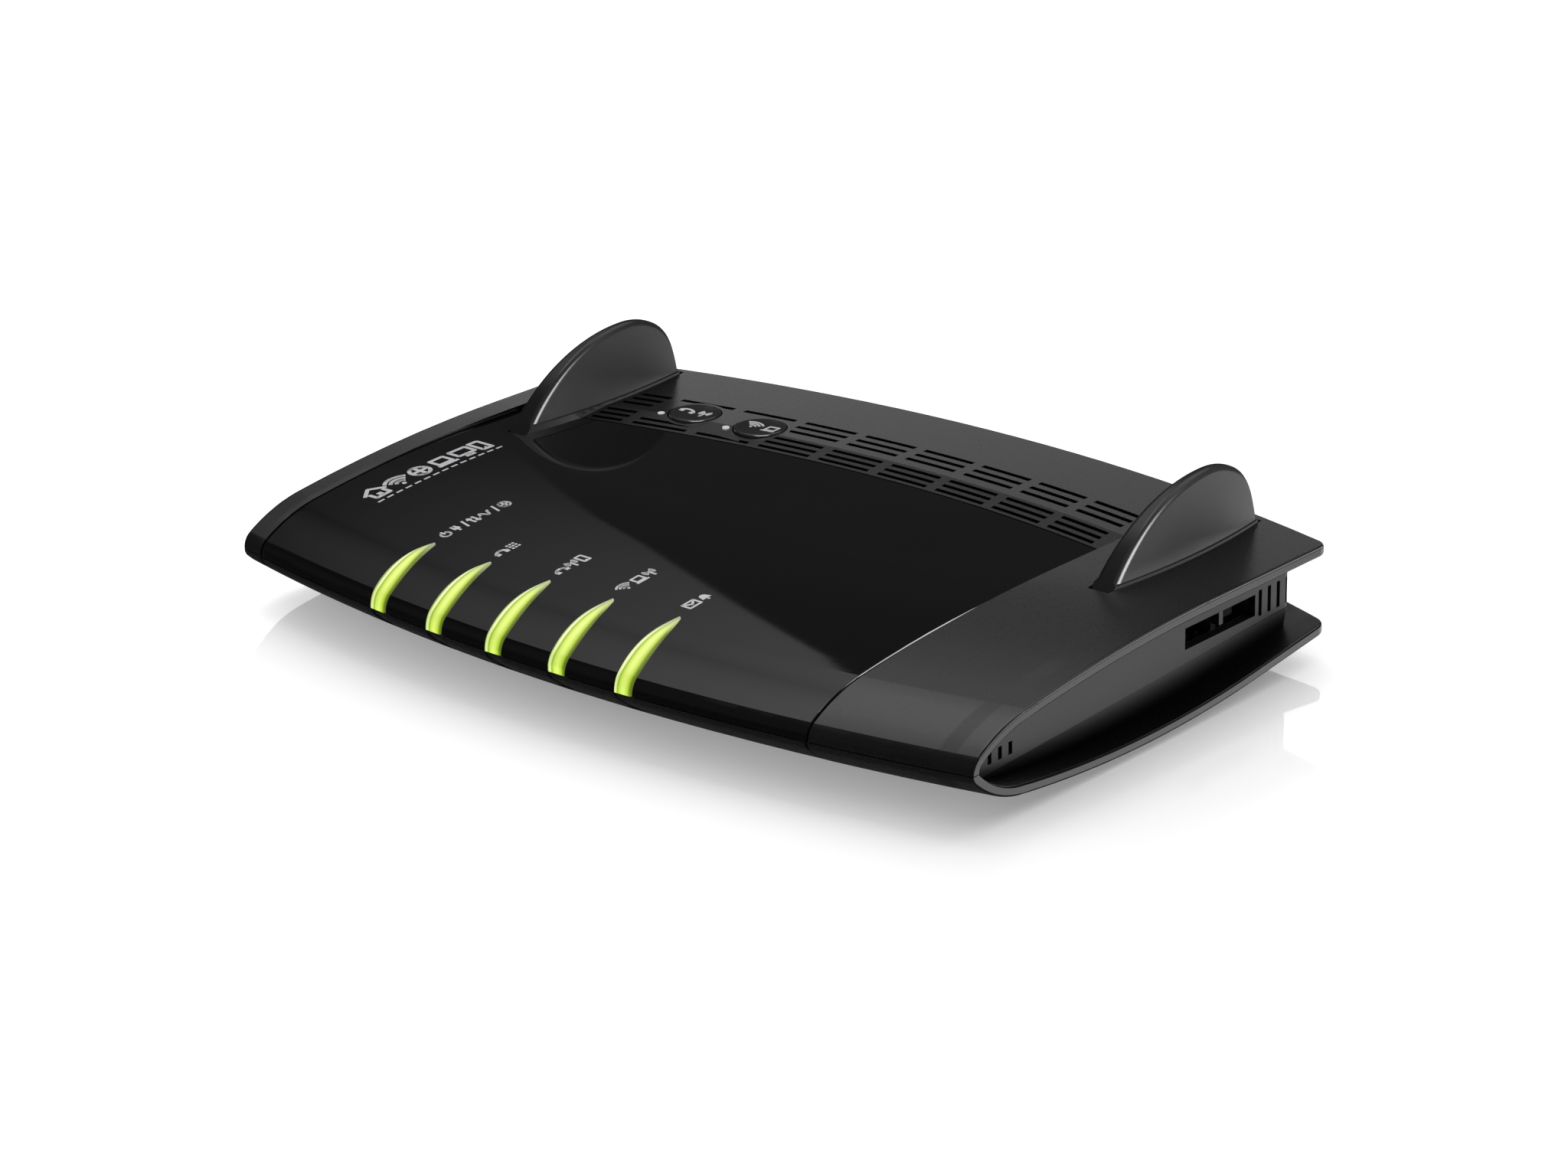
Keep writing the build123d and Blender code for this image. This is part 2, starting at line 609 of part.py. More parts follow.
def rear_usb(shape):
    return Pos(REAR_JACKS["rear_usb_shell"][0], JACK_FACE_Y, BOARD_TOP) * shape


def power_jack():
    """A round-bored inlet body."""
    x = REAR_JACKS["power_jack"][0]
    return rear_jack("power_jack", [Pos(x, JACK_FACE_Y, 19.6) * Rot(90, 0, 0) * Cylinder(3.0, 20)])


def power_pin():
    x = REAR_JACKS["power_jack"][0]
    return Pos(x, 53.3, 19.6) * Rot(90, 0, 0) * Cylinder(1.0, 9.0)


def phone_socket_block():
    """The double telephone socket behind the right wall."""
    low, high = PHONE_SOCKET_Y
    body = box((88, 104.3), (low - 1.2, high + 1.2), (BOARD_TOP, 22.4))
    for y in ((low + 0.2, PHONE_DIVIDER_Y[0] - 0.2), (PHONE_DIVIDER_Y[1] + 0.2, high - 0.2)):
        body -= box((91, 110), y, (15.6, 20.4))
    return body


def phone_socket_contacts():
    """Flat springs on the floors of the two sockets."""
    springs = []
    for first in (19.4, 34.0):
        springs += [block(97.0, first + 3.6 * i, 15.6, 11.0, 1.2, 0.4) for i in range(3)]
    return group(springs)


def heat_sink():
    sink = block(-5, 0, BOARD_TOP + 2.2, 28, 28, 1.6)
    for i in range(8):
        sink += block(-5 - 13.3 + 3.8 * i, 0, BOARD_TOP + 3.8, 1.4, 28, 4.8)
    return sink


def shield_can(x, y, width, depth, height):
    """A folded metal lid over a radio section."""
    can = block(x, y, BOARD_TOP, width, depth, height)
    return can - block(x, y, BOARD_TOP - 1, width - 0.8, depth - 0.8, height + 0.6)


def transformers():
    return group([block(x, 37.0, BOARD_TOP, 13.0, 8.0, 5.4) for x in LAN_XS])


def capacitors():
    """Upright electrolytics round the power inlet."""
    large = [post(x, y, 4.0, (BOARD_TOP, BOARD_TOP + 9.0)) for x, y in [(74, 37), (49, 36)]]
    small = [post(x, y, 3.15, (BOARD_TOP, BOARD_TOP + 8.0)) for x, y in [(83.5, 37), (74, 25), (49, 25)]]
    return group(large + small)


def chips(places, width, depth, height):
    return group([block(x, y, BOARD_TOP, width, depth, height) for x, y in places])


# ---- fastenings and small parts ----------------------------------------------------------------------
def screw(x, y, seat, up, head_r, head_h, shank_r, length):
    """A pan-head screw with a cross recess, its head under (up = 1) or over (up = -1) its seat."""
    ends = sorted((seat, seat - up * head_h))
    head = post(x, y, head_r, ends)
    shank = post(x, y, shank_r, sorted((seat - up * 0.2, seat + up * length)))
    face = seat - up * head_h
    cross = block(x, y, face - 0.6, 2.6, 0.6, 1.2) + block(x, y, face - 0.6, 0.6, 2.6, 1.2)
    return head + shank - cross


def case_screws():
    return group([screw(x, y, 9.0, 1, 2.8, 2.0, 1.2, 11.6) for x, y in both_sides(POSTS)])


def board_screws():
    return group([screw(x, y, BOARD_TOP, -1, 2.6, 1.7, 1.0, 7.6) for x, y in BOARD_SCREWS])


def rubber_feet():
    feet = []
    for x, y in both_sides(FEET):
        foot = post(x, y, FOOT_R, (0, 2.4))
        feet.append(fillet(foot.edges().group_by(Axis.Z)[0], 0.5))
    return group(feet)


def type_label():
    """A blank label on the underside."""
    return bottom_layer(-0.12, 0) & box((-34, 34), (14, 44), (0, 12))


# ---- everything, by node -----------------------------------------------------------------------------
def modular_jacks():
    """Bodies of the modular jacks by node, and all their contacts."""
    ports = {
        "dsl_jack": [(-85.0, 11.8, 8)],
        "phone_jack_pair": [(x, 9.8, 4) for x in PHONE_JACK_XS],
        "isdn_jack": [(-37.0, 11.8, 8)],
        "lan_jack_block": [(x, 11.8, 8) for x in LAN_XS],
    }
    bodies, contacts = {}, []
    for name, sockets in ports.items():
        made = [modular_port(*socket) for socket in sockets]
        bodies[name] = rear_jack(name, [hollow for hollow, _ in made])
        contacts += [wire for _, wires in made for wire in wires]
    return bodies, group(contacts)


def nodes():
    jacks, contacts = modular_jacks()
    parts = {
        "base_shell": base_shell(),
        "top_cover": top_cover(),
        "gloss_panel": gloss_panel(),
        "led_light_shield": led_light_shield(),
        "status_leds": status_leds(),
        "cordless_button": button("cordless"),
        "cordless_switch_plunger": switch_plunger("cordless"),
        "wireless_button": button("wireless"),
        "wireless_switch_plunger": switch_plunger("wireless"),
        "switch_bodies": switch_bodies(),
        "button_lenses": button_lenses(),
        "coax_plugs": coax_plugs(),
        "main_board": main_board(),
        "processor": chips([(-5, 0)], 27, 27, 2.2),
        "heat_sink": heat_sink(),
        "memory_chips": chips([(-31, 6), (-31, -10)], 13.0, 10.5, 1.2),
        "flash_chip": chips([(24, 4)], 12.0, 18.0, 1.1),
        "line_drivers": chips([(-80, 30), (-46, 26), (-34, 26)], 9.0, 9.0, 1.4),
        "relays": chips([(-76, 16), (-62, 16), (-48, 14)], 7.2, 10.0, 5.6),
        "inductors": chips([(62, 18), (36, 24), (26, 24)], 8.0, 8.0, 4.0),
        "crystals": chips([(13, -18), (-31, -24), (-60, -30)], 5.0, 3.2, 1.2),
        "wlan_shield": shield_can(58, -20, 40, 32, 3.4),
        "cordless_shield": shield_can(-70, -10, 22, 28, 3.4),
        "transformers": transformers(),
        "capacitors": capacitors(),
        "jack_contacts": contacts,
        "rear_usb_shell": rear_usb(usb_shell(USB_SIZE[1])),
        "side_usb_shell": side_usb(usb_shell(USB_SIZE[1])),
        "usb_tongues": group([rear_usb(usb_tongue()), side_usb(usb_tongue())]),
        "power_jack": power_jack(),
        "power_pin": power_pin(),
        "phone_socket_block": phone_socket_block(),
        "phone_socket_contacts": phone_socket_contacts(),
        "phone_socket_key": box((93, 104), (31.9, 38.5), (17.2, 20.4)),
        "case_screws": case_screws(),
        "board_screws": board_screws(),
        "rubber_feet": rubber_feet(),
        "type_label": type_label(),
    }
    parts.update(jacks)
    for i, x in enumerate(guide_xs(), 1):
        parts[f"light_guide_{i}"] = light_guide(x)
    for name in FINS:
        parts[f"fin_antenna_{name}"] = fin_antenna(name)
        parts[f"antenna_board_{name}"] = antenna_board(name)
        parts[f"antenna_lead_{name}"] = antenna_lead(name)
    return parts


os.makedirs("parts", exist_ok=True)
for node, shape in nodes().items():
    export_step(shape, f"parts/{node}.step")
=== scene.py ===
import math
import bpy
import bmesh
from mathutils import Matrix, Vector
from mathutils.bvhtree import BVHTree


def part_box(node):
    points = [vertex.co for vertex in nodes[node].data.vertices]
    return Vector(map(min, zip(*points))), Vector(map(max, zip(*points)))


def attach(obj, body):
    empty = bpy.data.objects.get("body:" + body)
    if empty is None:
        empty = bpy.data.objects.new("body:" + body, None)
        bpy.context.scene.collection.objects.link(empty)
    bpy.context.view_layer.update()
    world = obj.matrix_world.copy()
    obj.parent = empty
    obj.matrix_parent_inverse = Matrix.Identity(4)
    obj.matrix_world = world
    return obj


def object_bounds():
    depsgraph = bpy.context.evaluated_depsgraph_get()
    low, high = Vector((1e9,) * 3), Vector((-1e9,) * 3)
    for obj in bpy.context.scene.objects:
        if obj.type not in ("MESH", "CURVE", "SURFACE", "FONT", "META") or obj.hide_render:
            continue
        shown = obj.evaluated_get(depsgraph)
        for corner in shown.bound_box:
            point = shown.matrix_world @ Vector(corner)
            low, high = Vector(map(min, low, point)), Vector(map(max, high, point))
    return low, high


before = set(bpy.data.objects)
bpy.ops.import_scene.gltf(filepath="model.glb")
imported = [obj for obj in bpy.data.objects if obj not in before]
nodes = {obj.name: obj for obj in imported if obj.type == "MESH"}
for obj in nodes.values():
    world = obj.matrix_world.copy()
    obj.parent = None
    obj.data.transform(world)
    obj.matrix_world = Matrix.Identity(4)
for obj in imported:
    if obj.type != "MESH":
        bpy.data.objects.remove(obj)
cad_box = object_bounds()
MM = 0.001


# ---- material building blocks --------------------------------------------------------------------------
def new_material(name):
    """A material with its node tree, shader and object coordinates."""
    mat = bpy.data.materials.new(name)
    mat.use_nodes = True
    tree = mat.node_tree
    shader = tree.nodes["Principled BSDF"]
    coords = tree.nodes.new("ShaderNodeTexCoord").outputs["Object"]
    return mat, tree, shader, coords


def noise(tree, coords, scale, detail=3.0, rough=0.55):
    """A noise texture; scale is in cycles per metre."""
    node = tree.nodes.new("ShaderNodeTexNoise")
    node.inputs["Scale"].default_value = scale
    node.inputs["Detail"].default_value = detail
    node.inputs["Roughness"].default_value = rough
    tree.links.new(coords, node.inputs["Vector"])
    return node.outputs["Fac"]


def ramp(tree, factor, stops):
    """A colour ramp from (place, colour) stops."""
    node = tree.nodes.new("ShaderNodeValToRGB")
    while len(node.color_ramp.elements) < len(stops):
        node.color_ramp.elements.new(0.5)
    for element, (place, colour) in zip(node.color_ramp.elements, stops):
        element.position = place
        element.color = (*colour, 1)
    tree.links.new(factor, node.inputs["Fac"])
    return node.outputs["Color"]


def to_range(tree, value, low, high, new_low, new_high):
    """Maps a value from one range to another."""
    node = tree.nodes.new("ShaderNodeMapRange")
    for i, number in enumerate((low, high, new_low, new_high), 1):
        node.inputs[i].default_value = number
    tree.links.new(value, node.inputs[0])
    return node.outputs[0]


def bump(tree, shader, height, distance, strength=1.0):
    """Adds a bump of that height to a shader's normal."""
    node = tree.nodes.new("ShaderNodeBump")
    node.inputs["Distance"].default_value = distance
    node.inputs["Strength"].default_value = strength
    tree.links.new(height, node.inputs["Height"])
    tree.links.new(node.outputs["Normal"], shader.inputs["Normal"])
    return node


class Maths:
    """Writes arithmetic as shader nodes."""

    def __init__(self, tree):
        self.tree = tree

    def __call__(self, operation, *values):
        node = self.tree.nodes.new("ShaderNodeMath")
        node.operation = operation
        for socket, value in zip(node.inputs, values):
            if isinstance(value, (int, float)):
                socket.default_value = value
            else:
                self.tree.links.new(value, socket)
        return node.outputs[0]

    def smooth(self, value, low, high, new_low=0.0, new_high=1.0):
        """A soft step from one value to another between low and high."""
        node = self.tree.nodes.new("ShaderNodeMapRange")
        node.interpolation_type = "SMOOTHSTEP"
        for i, number in enumerate((low, high, new_low, new_high), 1):
            node.inputs[i].default_value = number
        self.tree.links.new(value, node.inputs[0])
        return node.outputs[0]


def grey(v):
    """A grey of that brightness, a touch cool."""
    return (v, v, v * 1.03)


UNEVEN_COLOUR_SCALE = 35.0    # per metre: slow drifts of colour over a moulding
UNEVEN_GLOSS_SCALE = 900.0    # per metre: the finest change of gloss
GRAIN_STRENGTH = 0.6


def plastic(name, dark, light, rough, grain=0.0, grain_scale=9000.0):
    """Moulded plastic: slightly uneven colour and gloss, with an optional spark-eroded grain."""
    mat, tree, shader, coords = new_material(name)
    patches = noise(tree, coords, UNEVEN_COLOUR_SCALE, 4.0)
    tree.links.new(ramp(tree, patches, [(0.3, dark), (0.7, light)]), shader.inputs["Base Color"])
    fine = noise(tree, coords, UNEVEN_GLOSS_SCALE, 2.0)
    tree.links.new(to_range(tree, fine, 0.3, 0.7, rough[0], rough[1]), shader.inputs["Roughness"])
    shader.inputs["IOR"].default_value = 1.5
    if grain:
        bump(tree, shader, noise(tree, coords, grain_scale, 2.0, 0.6), grain, GRAIN_STRENGTH)
    return mat


STREAK_STRETCH = (1, 12, 12)
STREAK_SCALE = 700.0
STREAK_STRENGTH = 0.4
PLAIN_METAL_RELIEF = 0.01 * MM


def metal(name, colour, rough, brushed=0.0):
    """Bare metal with streaky gloss; brushed is the depth of the brush marks, if it has any."""
    mat, tree, shader, coords = new_material(name)
    shader.inputs["Metallic"].default_value = 1.0
    streaks = tree.nodes.new("ShaderNodeMapping")
    streaks.inputs["Scale"].default_value = STREAK_STRETCH if brushed else (1, 1, 1)
    tree.links.new(coords, streaks.inputs["Vector"])
    fac = noise(tree, streaks.outputs["Vector"], STREAK_SCALE, 4.0)
    tone = [tuple(c * k for c in colour) for k in (0.8, 1.0)]
    tree.links.new(ramp(tree, fac, [(0.3, tone[0]), (0.7, tone[1])]), shader.inputs["Base Color"])
    tree.links.new(to_range(tree, fac, 0.3, 0.7, rough[0], rough[1]), shader.inputs["Roughness"])
    bump(tree, shader, fac, brushed or PLAIN_METAL_RELIEF, STREAK_STRENGTH)
    return mat


SATIN_ROUGHNESS = (0.27, 0.29)
RIM_FROM, RIM_TO = 111.9 * MM, 112.5 * MM          # from the middle, sideways
RIM_POLISH = 0.12
WALL_FROM, WALL_TO = 103.0 * MM, 108.0 * MM        # the set-back walls, sideways
WALL_TOP = 27.0 * MM
WALL_COARSER = 0.1
BLEND = 1.0 * MM


def satin_casing():
    """The skins' fine satin: polished along the rims, coarser on the walls set in under them."""
    mat, tree, shader, coords = new_material("satin_black")
    m = Maths(tree)
    patches = noise(tree, coords, UNEVEN_COLOUR_SCALE, 4.0)
    colour = ramp(tree, patches, [(0.3, grey(0.0075)), (0.7, grey(0.0105))])
    tree.links.new(colour, shader.inputs["Base Color"])
    split = tree.nodes.new("ShaderNodeSeparateXYZ")
    tree.links.new(coords, split.inputs[0])
    sideways = m("ABSOLUTE", split.outputs["X"])
    rim = m.smooth(sideways, RIM_FROM, RIM_TO)
    inner_side = m.smooth(sideways, WALL_FROM, WALL_FROM + BLEND)
    outer_side = m.smooth(sideways, WALL_TO, WALL_TO - BLEND)
    below = m.smooth(split.outputs["Z"], WALL_TOP, WALL_TOP - BLEND)
    recess = m("MULTIPLY", m("MULTIPLY", inner_side, outer_side), below)
    fine = to_range(tree, noise(tree, coords, UNEVEN_GLOSS_SCALE, 2.0), 0.3, 0.7, *SATIN_ROUGHNESS)
    rough = m("ADD", fine, m("SUBTRACT", m("MULTIPLY", recess, WALL_COARSER), m("MULTIPLY", rim, RIM_POLISH)))
    tree.links.new(rough, shader.inputs["Roughness"])
    return mat


LENS_GLOW = 0.45


def lit_lens():
    """Milky clear plastic with a little light coming up through it."""
    mat = plastic("dot_lens", grey(0.5), grey(0.6), (0.1, 0.2))
    shader = mat.node_tree.nodes["Principled BSDF"]
    shader.inputs["Emission Color"].default_value = (1, 1, 1, 1)
    shader.inputs["Emission Strength"].default_value = LENS_GLOW
    return mat


def build_materials():
    """Every material by the name that NODE_MATERIALS uses."""
    mats = {}
    mats["satin"] = satin_casing()
    mats["gloss"] = plastic("gloss_black", grey(0.0022), grey(0.0028), (0.035, 0.05))
    mats["fin"] = plastic("fin_black", grey(0.009), grey(0.012), (0.25, 0.27))
    mats["button"] = plastic("button_black", grey(0.008), grey(0.011), (0.14, 0.2))
    mats["inner"] = plastic("inner_black", grey(0.012), grey(0.018), (0.45, 0.6), 0.00001)
    mats["key"] = plastic("key_grey", grey(0.03), grey(0.04), (0.45, 0.55), 0.00001)
    mats["grey"] = plastic("socket_grey", grey(0.2), grey(0.25), (0.4, 0.5), 0.00001)
    mats["yellow"] = plastic("socket_yellow", (0.62, 0.38, 0.02), (0.72, 0.46, 0.03), (0.4, 0.5), 0.00001)
    mats["white"] = plastic("relay_white", grey(0.6), grey(0.68), (0.4, 0.5), 0.00001)
    mats["chip"] = plastic("chip_black", grey(0.012), grey(0.02), (0.5, 0.62), 0.00002, 5000.0)
    mats["rubber"] = plastic("foot_rubber", grey(0.012), grey(0.02), (0.75, 0.9), 0.00002, 4000.0)
    dark_green, light_green = (0.008, 0.06, 0.022), (0.012, 0.085, 0.03)
    mats["board"] = plastic("board_green", dark_green, light_green, (0.25, 0.4), 0.00001, 1500.0)
    mats["steel"] = metal("tinned_steel", (0.62, 0.63, 0.65), (0.25, 0.4), 0.00002)
    mats["screw"] = metal("screw_steel", (0.5, 0.5, 0.52), (0.25, 0.4), 0.00001)
    mats["gold"] = metal("gold", (0.85, 0.6, 0.25), (0.2, 0.3))
    mats["aluminium"] = metal("aluminium", (0.72, 0.73, 0.75), (0.3, 0.45), 0.00003)
    mats["label"] = plastic("label_film", grey(0.62), grey(0.68), (0.45, 0.55), 0.000005)
    mats["print"] = plastic("white_print", grey(0.62), grey(0.7), (0.4, 0.5))
    mats["lens"] = lit_lens()
    mats["can"] = plastic("can_sleeve", (0.02, 0.025, 0.05), (0.03, 0.035, 0.06), (0.3, 0.4))
    return mats


mats = build_materials()

NODE_MATERIALS = {
    "base_shell": "satin", "top_cover": "satin", "gloss_panel": "gloss", "led_light_shield": "inner",
    "status_leds": "white", "cordless_button": "button", "wireless_button": "button",
    "cordless_switch_plunger": "inner", "wireless_switch_plunger": "inner", "switch_bodies": "grey",
    "button_lenses": "lens", "fin_antenna_left": "fin", "fin_antenna_right": "fin",
    "antenna_board_left": "board", "antenna_board_right": "board", "antenna_lead_left": "rubber",
    "antenna_lead_right": "rubber", "coax_plugs": "gold", "main_board": "board", "processor": "chip",
    "heat_sink": "aluminium", "memory_chips": "chip", "flash_chip": "chip", "line_drivers": "chip",
    "relays": "white", "inductors": "chip", "crystals": "steel", "wlan_shield": "steel",
    "cordless_shield": "steel", "transformers": "chip", "capacitors": "can", "dsl_jack": "grey",
    "phone_jack_pair": "inner", "isdn_jack": "inner", "lan_jack_block": "yellow", "jack_contacts": "gold",
    "rear_usb_shell": "steel", "side_usb_shell": "steel", "usb_tongues": "inner", "power_jack": "inner",
    "power_pin": "gold", "phone_socket_block": "inner", "phone_socket_contacts": "gold",
    "phone_socket_key": "key", "case_screws": "screw", "board_screws": "screw", "rubber_feet": "rubber",
    "type_label": "label",
}


# ---- light guides --------------------------------------------------------------------------------------
# the claws' plan, as their CAD outline has it: middle line and half width by distance behind the nose
GUIDE_X_FROM_LEFT = 4.45 * MM
GUIDE_TIP = 2.6 * MM
GUIDE_BULGE = (0.05 * MM, -1.9 * MM, 11.0 * MM)
GUIDE_HALF_WIDTH = 2.35 * MM
GUIDE_END_HALF_WIDTH = 0.35 * MM
GUIDE_WIDEST = 0.45           # of the length, from the nose
# colour and relief across a claw from its left edge, the colour with a painted highlight on the ridge and
# painted shade in the groove beside it, and colour along it from the nose
GUIDE_ACROSS_PAINTED_HIGHLIGHT_AND_SHADE = [(0.0, (0.30, 0.38, 0.12)), (0.09, (0.95, 1.0, 0.62)), (0.17, (0.80, 0.92, 0.40)),
                (0.25, (0.34, 0.46, 0.07)), (0.36, (0.66, 0.82, 0.16)), (0.60, (0.88, 1.0, 0.32)),
                (0.84, (0.56, 0.72, 0.08)), (1.0, (0.16, 0.22, 0.03))]
GUIDE_ALONG = [(0.0, (0.74, 0.82, 0.52)), (0.2, (0.92, 0.95, 0.72)), (0.5, (1.0, 1.0, 1.0)),
               (1.0, (0.85, 0.88, 0.9))]
GUIDE_RELIEF = [(0.0, (0.5,) * 3), (0.10, (1.0,) * 3), (0.22, (0.2,) * 3), (0.38, (0.5,) * 3),
                (1.0, (0.5,) * 3)]
GUIDE_TIP_COLOUR = (0.42, 0.46, 0.30, 1)
GUIDE_TIP_FROM, GUIDE_TIP_SHARE = 0.62, 0.75
GUIDE_GLOW = 0.8
GUIDE_GLOSS = 0.12
GUIDE_RELIEF_HEIGHT = 0.3 * MM


def quadratic(m, t, values, places):
    """A parabola through three values at three places, as shader maths."""
    (a, b, c), (u, v, w) = values, places
    second = ((c - a) / (w - u) - (b - a) / (v - u)) / (w - v)
    first = (b - a) / (v - u) - second * (u + v)
    zero = a - first * u - second * u * u
    return m("ADD", m("MULTIPLY", m("ADD", m("MULTIPLY", t, second), first), t), zero)


def guide_material(name, low, high):
    """Tinted clear plastic, lit from below: a painted highlight on the pale ridge, painted shade in the fine
    groove, a bright body and a grey tip.
    """
    mat, tree, shader, coords = new_material(name)
    m = Maths(tree)
    split = tree.nodes.new("ShaderNodeSeparateXYZ")
    tree.links.new(coords, split.inputs[0])
    x, y, _ = split.outputs
    length = high.y - low.y
    behind = m("SUBTRACT", y, low.y)
    middle_x = low.x + GUIDE_X_FROM_LEFT
    middle = quadratic(m, behind, (GUIDE_BULGE[0], GUIDE_BULGE[1], -GUIDE_TIP), (0.0, GUIDE_BULGE[2], length))
    widths = (GUIDE_HALF_WIDTH, GUIDE_HALF_WIDTH, GUIDE_END_HALF_WIDTH)
    half = quadratic(m, behind, widths, (0.0, GUIDE_WIDEST * length, length))
    across = m("DIVIDE", m("SUBTRACT", m("SUBTRACT", x, middle_x), middle), half)
    across = to_range(tree, across, -1.0, 1.0, 0.0, 1.0)
    # across the claw the colour paints a highlight on the left ridge and shade in the groove beside it; the
    # same colour also feeds the glow
    body = ramp(tree, across, GUIDE_ACROSS_PAINTED_HIGHLIGHT_AND_SHADE)
    along = to_range(tree, y, low.y, high.y, 0.0, 1.0)
    mix = tree.nodes.new("ShaderNodeMix")
    mix.data_type = "RGBA"
    mix.blend_type = "MULTIPLY"
    mix.inputs["Factor"].default_value = 1.0
    tree.links.new(body, mix.inputs["A"])
    tree.links.new(ramp(tree, along, GUIDE_ALONG), mix.inputs["B"])
    tip = tree.nodes.new("ShaderNodeMix")
    tip.data_type = "RGBA"
    tree.links.new(m.smooth(along, GUIDE_TIP_FROM, 1.0, 0.0, GUIDE_TIP_SHARE), tip.inputs["Factor"])
    tree.links.new(mix.outputs["Result"], tip.inputs["A"])
    tip.inputs["B"].default_value = GUIDE_TIP_COLOUR
    colour = tip.outputs["Result"]
    tree.links.new(colour, shader.inputs["Base Color"])
    tree.links.new(colour, shader.inputs["Emission Color"])
    shader.inputs["Emission Strength"].default_value = GUIDE_GLOW
    shader.inputs["Roughness"].default_value = GUIDE_GLOSS
    shader.inputs["Subsurface Weight"].default_value = 0.15
    shader.inputs["Subsurface Radius"].default_value = (0.002, 0.002, 0.001)
    bump(tree, shader, ramp(tree, across, GUIDE_RELIEF), GUIDE_RELIEF_HEIGHT, 0.8)
    return mat


def dress_nodes():
    """Gives every CAD node its material."""
    for name, node in nodes.items():
        if name.startswith("light_guide"):
            low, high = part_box(name)
            mat = guide_material(f"{name}_green", Vector(low), Vector(high))
        else:
            mat = mats[NODE_MATERIALS[name]]
        node.data.materials.clear()
        node.data.materials.append(mat)


dress_nodes()


# ---- printed pictograms --------------------------------------------------------------------------------
def arc(cx, cy, radius, start, end, steps=16):
    """Points of an arc, its angles in degrees."""
    turns = [math.radians(start + (end - start) * i / steps) for i in range(steps + 1)]
    return [(cx + radius * math.cos(t), cy + radius * math.sin(t)) for t in turns]


def thick(points, width):
    """The outline of a line of that width through the points, as a run of four-sided pieces."""
    pieces = []
    for (x0, y0), (x1, y1) in zip(points, points[1:]):
        length = math.hypot(x1 - x0, y1 - y0)
        ux, uy = (x1 - x0) / length, (y1 - y0) / length
        nx, ny = -uy * width / 2, ux * width / 2
        over = width * 0.18
        x0, y0, x1, y1 = x0 - ux * over, y0 - uy * over, x1 + ux * over, y1 + uy * over
        pieces.append([(x0 + nx, y0 + ny), (x0 - nx, y0 - ny), (x1 - nx, y1 - ny), (x1 + nx, y1 + ny)])
    return pieces


def disc(cx, cy, radius):
    """A filled dot, as one twelve-sided piece."""
    return [arc(cx, cy, radius, 0, 360, 12)[:-1]]


def glyph_power(w):
    return thick(arc(1.5, 1.4, 1.25, 125, 415), w) + thick([(1.5, 1.7), (1.5, 3.2)], w)


def glyph_plug(w):
    body = [[(0.3, 1.0), (2.3, 1.0), (2.3, 2.1), (0.3, 2.1)]]
    prongs = thick([(0.8, 2.1), (0.8, 3.1)], w) + thick([(1.8, 2.1), (1.8, 3.1)], w)
    return body + prongs + thick([(1.3, 0), (1.3, 1)], w)


def glyph_slash(w):
    return thick([(0.2, -0.2), (1.2, 3.3)], w)


def glyph_arrows(w):
    up = thick([(0.6, 0), (0.6, 3.0)], w) + thick([(0.0, 2.2), (0.6, 3.1), (1.2, 2.2)], w)
    down = thick([(2.1, 3.1), (2.1, 0.1)], w) + thick([(1.5, 0.9), (2.1, 0.0), (2.7, 0.9)], w)
    return up + down


def glyph_wave(w):
    points = [(0.25 * i, 1.5 + 1.1 * math.sin(0.25 * i * 2.4)) for i in range(15)]
    return thick(points, w)


def glyph_handset(w):
    bow = thick(arc(1.5, 0.3, 1.9, 25, 155), w * 1.3)
    ends = [[(u, 0.3), (u + 1.1, 0.3), (u + 1.1, 1.3), (u, 1.3)] for u in (-0.4, 2.3)]
    return bow + ends


def glyph_keys(w):
    return sum([disc(0.4 + 0.95 * i, 0.5 + 1.05 * j, w * 0.62) for i in range(3) for j in range(3)], [])


def glyph_mast(w):
    waves = []
    for radius in (0.75, 1.35):
        for start, end in ((-42, 42), (138, 222)):
            waves += thick(arc(1.3, 2.2, radius, start, end, 8), w)
    return waves + disc(1.3, 2.2, 0.3) + thick([(1.3, 2.0), (1.3, 0)], w)


def glyph_arcs(w):
    waves = [thick(arc(1.7, 0.3, radius, 45, 135, 10), w) for radius in (1.1, 1.95, 2.8)]
    return disc(1.7, 0.35, 0.36) + sum(waves, [])


def glyph_laptop(w):
    screen = thick([(0.5, 0.7), (0.5, 2.8), (3.1, 2.8), (3.1, 0.7), (0.5, 0.7)], w)
    return screen + thick([(0, 0.15), (3.6, 0.15)], w)


def glyph_envelope(w):
    frame_line = thick([(0, 0.3), (0, 2.7), (3.4, 2.7), (3.4, 0.3), (0, 0.3)], w)
    return frame_line + thick([(0, 2.6), (1.7, 1.3), (3.4, 2.6)], w)


def glyph_bell(w):
    dome = arc(1.4, 1.7, 1.0, 0, 180)
    return [dome + [(0.1, 0.7), (2.7, 0.7)]] + disc(1.4, 0.25, 0.32)


def glyph_house(w):
    roof = thick([(-0.3, 1.7), (1.7, 3.3), (3.7, 1.7)], w)
    walls = thick([(0.4, 1.6), (0.4, 0.0), (3.0, 0.0), (3.0, 1.6)], w)
    return roof + walls + [[(1.3, 0), (2.1, 0), (2.1, 1.2), (1.3, 1.2)]]


def glyph_globe(w):
    ring = thick(arc(1.6, 1.6, 1.5, 0, 360, 20), w) + thick([(0.1, 1.6), (3.1, 1.6)], w)
    return ring + thick([(1.6, 0.1), (1.6, 3.1)], w) + thick(arc(1.6, 1.6, 1.5, 90, 270), w)


